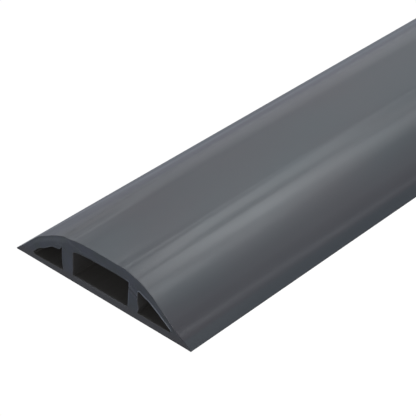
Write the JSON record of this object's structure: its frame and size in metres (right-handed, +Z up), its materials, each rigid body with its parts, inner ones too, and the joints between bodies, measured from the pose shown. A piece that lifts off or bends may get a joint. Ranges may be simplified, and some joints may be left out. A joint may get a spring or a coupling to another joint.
{
  "type": "over-floor cable raceway",
  "caption": "Straight length of flexible PVC cord cover with a flat base, a low bridged top and three cord channels running through it.",
  "frame": {"origin": "middle of the flat underside, on the floor", "axes": "X across the section, Y along the length, +Z up out of the rounded top. The end that the picture shows is the one at -Y."},
  "size_m": [0.0636, 1.524, 0.014],
  "materials": {
    "grey_vinyl": "satin, as extruded, with faint lines along the length and matt sawn ends"
  },
  "bodies": {
    "root": {"raceway_extrusion": "grey_vinyl"}
  },
  "joints": []
}
